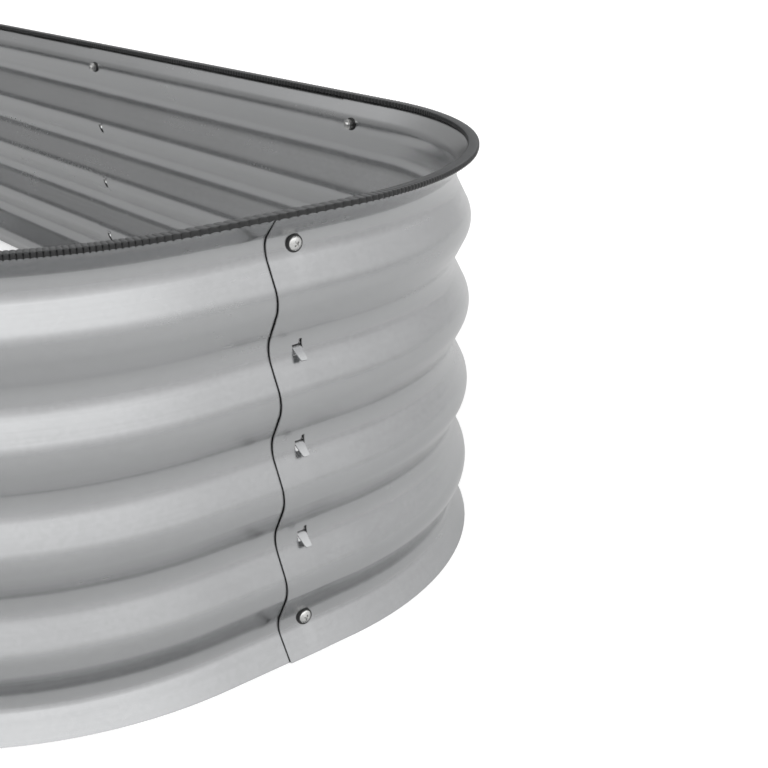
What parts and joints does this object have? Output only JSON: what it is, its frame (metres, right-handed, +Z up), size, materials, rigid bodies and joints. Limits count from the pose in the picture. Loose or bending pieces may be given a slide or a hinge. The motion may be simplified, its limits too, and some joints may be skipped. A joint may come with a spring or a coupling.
{
  "type": "raised garden bed",
  "caption": "Long oval raised garden bed: a bottomless ring of corrugated galvanised steel panels, lapped, bolted and hooked together, with a ribbed rubber edge trim.",
  "frame": {"origin": "on the ground, at the middle of the bed", "axes": "+X along the long walls, towards the rounded end that the picture shows; +Y towards the long wall whose inside the picture shows; +Z up"},
  "size_m": [2.3952, 0.6092, 0.3009],
  "materials": {
    "galvanised_sheet": "satin galvanised",
    "trim_rubber": "matte, cross-ribbed",
    "bright_zinc": "bright zinc plated",
    "washer_rubber": "matte"
  },
  "bodies": {
    "root": {"corner_panel_1": "galvanised_sheet", "corner_panel_2": "galvanised_sheet", "corner_panel_3": "galvanised_sheet", "corner_panel_4": "galvanised_sheet", "side_panel_1": "galvanised_sheet", "side_panel_2": "galvanised_sheet", "side_panel_3": "galvanised_sheet", "side_panel_4": "galvanised_sheet", "side_panel_5": "galvanised_sheet", "side_panel_6": "galvanised_sheet", "side_panel_7": "galvanised_sheet", "side_panel_8": "galvanised_sheet", "edge_trim": "trim_rubber", "seam_01_bolts": "bright_zinc", "seam_02_bolts": "bright_zinc", "seam_03_bolts": "bright_zinc", "seam_04_bolts": "bright_zinc", "seam_05_bolts": "bright_zinc", "seam_06_bolts": "bright_zinc", "seam_07_bolts": "bright_zinc", "seam_08_bolts": "bright_zinc", "seam_09_bolts": "bright_zinc", "seam_10_bolts": "bright_zinc", "seam_11_bolts": "bright_zinc", "seam_12_bolts": "bright_zinc", "seam_01_washers": "washer_rubber", "seam_02_washers": "washer_rubber", "seam_03_washers": "washer_rubber", "seam_04_washers": "washer_rubber", "seam_05_washers": "washer_rubber", "seam_06_washers": "washer_rubber", "seam_07_washers": "washer_rubber", "seam_08_washers": "washer_rubber", "seam_09_washers": "washer_rubber", "seam_10_washers": "washer_rubber", "seam_11_washers": "washer_rubber", "seam_12_washers": "washer_rubber", "seam_01_nuts": "bright_zinc", "seam_02_nuts": "bright_zinc", "seam_03_nuts": "bright_zinc", "seam_04_nuts": "bright_zinc", "seam_05_nuts": "bright_zinc", "seam_06_nuts": "bright_zinc", "seam_07_nuts": "bright_zinc", "seam_08_nuts": "bright_zinc", "seam_09_nuts": "bright_zinc", "seam_10_nuts": "bright_zinc", "seam_11_nuts": "bright_zinc", "seam_12_nuts": "bright_zinc"}
  },
  "joints": []
}
